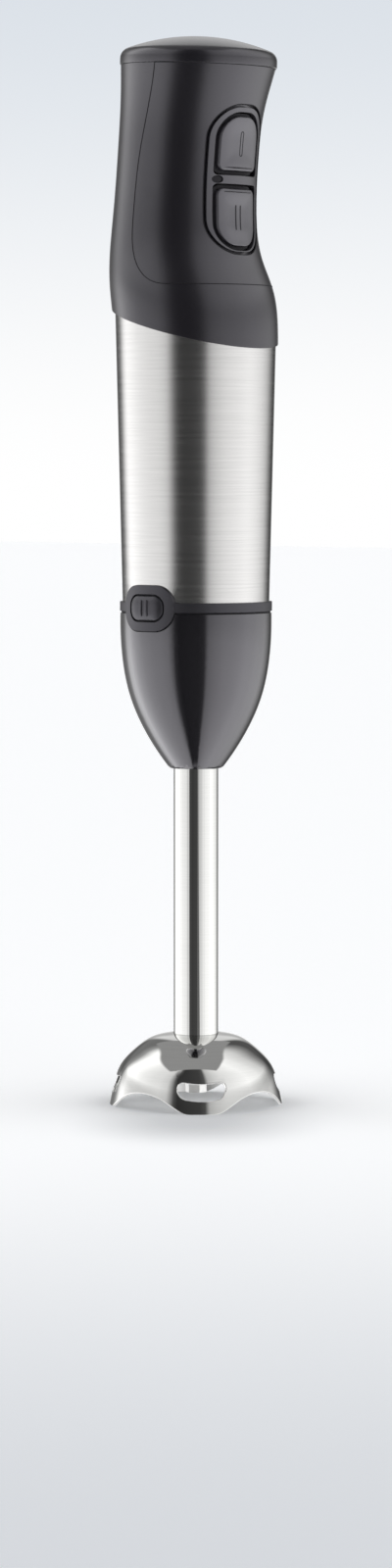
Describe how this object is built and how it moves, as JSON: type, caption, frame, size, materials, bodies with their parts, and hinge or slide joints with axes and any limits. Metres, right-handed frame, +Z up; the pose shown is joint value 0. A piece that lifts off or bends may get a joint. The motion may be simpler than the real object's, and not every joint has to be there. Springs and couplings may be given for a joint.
{
  "type": "immersion blender",
  "caption": "Immersion blender: hand-held motor unit with speed buttons, steel sleeve and side release buttons, and a latching blending shaft with blade under a scalloped bell guard.",
  "frame": {"origin": "on the shaft's axis, in the plane of the bell's foot lands", "axes": "+Z up along the shaft towards the cap, -Y towards the speed buttons, release buttons at -X and +X"},
  "size_m": [0.0614, 0.0632, 0.392],
  "materials": {
    "handle_plastic": "fine satin moulding",
    "cap_plastic": "fine satin moulding",
    "button_plastic": "smooth satin moulding",
    "gloss_black": "high gloss moulding",
    "collar_plastic": "matt moulding",
    "brushed_steel": "brushed round the axis",
    "polished_steel": "mirror polished stainless steel",
    "spring_steel": "bright spring steel",
    "machine_steel": "ground steel",
    "core_steel": "laminated electrical steel",
    "copper_enamel": "enamelled copper winding",
    "carbon": "pressed carbon",
    "brass": "plain brass",
    "white_nylon": "natural nylon",
    "grey_nylon": "glass-filled nylon",
    "rubber": "black rubber",
    "circuit_board": "green solder mask",
    "dark_lens": "dark lens"
  },
  "bodies": {
    "motor_unit": {"top_cap": "cap_plastic", "front_cover": "handle_plastic", "rear_housing": "handle_plastic", "control_panel": "button_plastic", "indicator_lens": "dark_lens", "switch_board": "circuit_board", "micro_switch_1": "grey_nylon", "micro_switch_2": "grey_nylon", "inner_frame": "grey_nylon", "cord_grommet": "rubber", "steel_sleeve": "brushed_steel", "motor_chassis": "grey_nylon", "collar_ring": "collar_plastic", "latch_spring_left": "spring_steel", "latch_spring_right": "spring_steel", "lower_bracket": "grey_nylon", "upper_bracket": "grey_nylon", "lower_mount_ring": "rubber", "upper_mount_ring": "rubber", "lower_bearing": "machine_steel", "upper_bearing": "machine_steel", "stator_core": "core_steel", "field_coils": "copper_enamel", "brush_holders": "brass", "carbon_brushes": "carbon", "motor_bolts": "machine_steel"},
    "first_speed_button": {"speed_button_1": "button_plastic", "switch_plunger_1": "white_nylon"},
    "second_speed_button": {"speed_button_2": "button_plastic", "switch_plunger_2": "white_nylon"},
    "left_release": {"release_button_left": "button_plastic"},
    "right_release": {"release_button_right": "button_plastic"},
    "rotor": {"motor_shaft": "machine_steel", "armature_core": "core_steel", "armature_windings": "copper_enamel", "commutator": "brass", "cooling_fan": "white_nylon", "drive_dog": "white_nylon"},
    "blending_shaft": {"shaft_housing": "gloss_black", "housing_insert": "grey_nylon", "shaft_tube": "polished_steel", "upper_bushing": "brass", "lower_bushing": "brass", "shaft_seal": "rubber", "bell_hub": "polished_steel", "bell_guard": "polished_steel"},
    "spindle": {"drive_shaft": "machine_steel", "driven_coupling": "grey_nylon", "blade": "polished_steel", "blade_hub": "machine_steel", "blade_nut": "polished_steel"}
  },
  "joints": [
    {"name": "speed_button_1_press", "type": "slide", "parent": "motor_unit", "child": "first_speed_button", "axis": [0, 1, 0], "range_m": [0, 0.0015], "stiffness_N_per_m": 800, "springref_m": -0.001},
    {"name": "speed_button_2_press", "type": "slide", "parent": "motor_unit", "child": "second_speed_button", "axis": [0, 1, 0], "range_m": [0, 0.0015], "stiffness_N_per_m": 800, "springref_m": -0.001},
    {"name": "release_left_press", "type": "slide", "parent": "motor_unit", "child": "left_release", "axis": [1, 0, 0], "range_m": [0, 0.0025], "stiffness_N_per_m": 1500, "springref_m": -0.0005, "deforming": ["latch_spring_left"]},
    {"name": "release_right_press", "type": "slide", "parent": "motor_unit", "child": "right_release", "axis": [-1, 0, 0], "range_m": [0, 0.0025], "stiffness_N_per_m": 1500, "springref_m": -0.0005, "deforming": ["latch_spring_right"]},
    {"name": "shaft_release", "type": "slide", "parent": "motor_unit", "child": "blending_shaft", "axis": [0, 0, -1], "range_m": [0, 0.045]},
    {"name": "motor_spin", "type": "hinge", "parent": "motor_unit", "child": "rotor", "pos_m": [0, 0, 0.24], "axis": [0, 0, 1], "continuous": true},
    {"name": "spindle_spin", "type": "hinge", "parent": "blending_shaft", "child": "spindle", "pos_m": [0, 0, 0.1], "axis": [0, 0, 1], "continuous": true}
  ],
  "couplings": [
    {"joint": "spindle_spin", "follows": "motor_spin", "ratio": 1}
  ]
}
